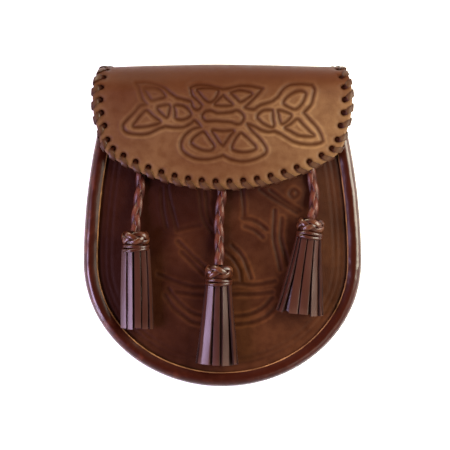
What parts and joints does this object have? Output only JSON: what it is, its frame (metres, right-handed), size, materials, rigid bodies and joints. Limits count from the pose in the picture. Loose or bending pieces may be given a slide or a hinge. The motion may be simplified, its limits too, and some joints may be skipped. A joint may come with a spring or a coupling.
{
  "type": "sporran pouch",
  "caption": "Round-bottomed leather pouch with a rolled rim, a laced flap folded over its mouth, tassels on plaited cords and strap loops on the back.",
  "frame": {"origin": "middle of the pouch seen from the front, on the surface that it lies on", "axes": "+Z out of the front of the pouch, +Y towards the fold of the flap, +X to the right of someone who looks at the front"},
  "size_m": [0.178, 0.2075, 0.0505],
  "materials": {
    "mahogany_leather": "glossy red-brown leather",
    "dark_brown_leather": "satin dark brown leather, tooled",
    "tan_leather": "satin brown leather, tooled, lighter than the pouch",
    "tassel_leather": "glossy dark brown leather strips",
    "brass": "satin"
  },
  "bodies": {
    "root": {"back_panel": "dark_brown_leather", "gusset": "mahogany_leather", "rim": "mahogany_leather", "front_panel": "dark_brown_leather", "flap": "tan_leather", "flap_lacing": "tan_leather", "press_stud": "brass", "belt_loop_left": "dark_brown_leather", "belt_loop_right": "dark_brown_leather", "cord_keeper_left": "dark_brown_leather", "cord_keeper_centre": "dark_brown_leather", "cord_keeper_right": "dark_brown_leather", "tassel_cord_left": "mahogany_leather", "tassel_cord_centre": "mahogany_leather", "tassel_cord_right": "mahogany_leather", "tassel_knot_left": "mahogany_leather", "tassel_knot_centre": "mahogany_leather", "tassel_knot_right": "mahogany_leather", "tassel_skirt_left": "tassel_leather", "tassel_skirt_centre": "tassel_leather", "tassel_skirt_right": "tassel_leather"}
  },
  "joints": []
}
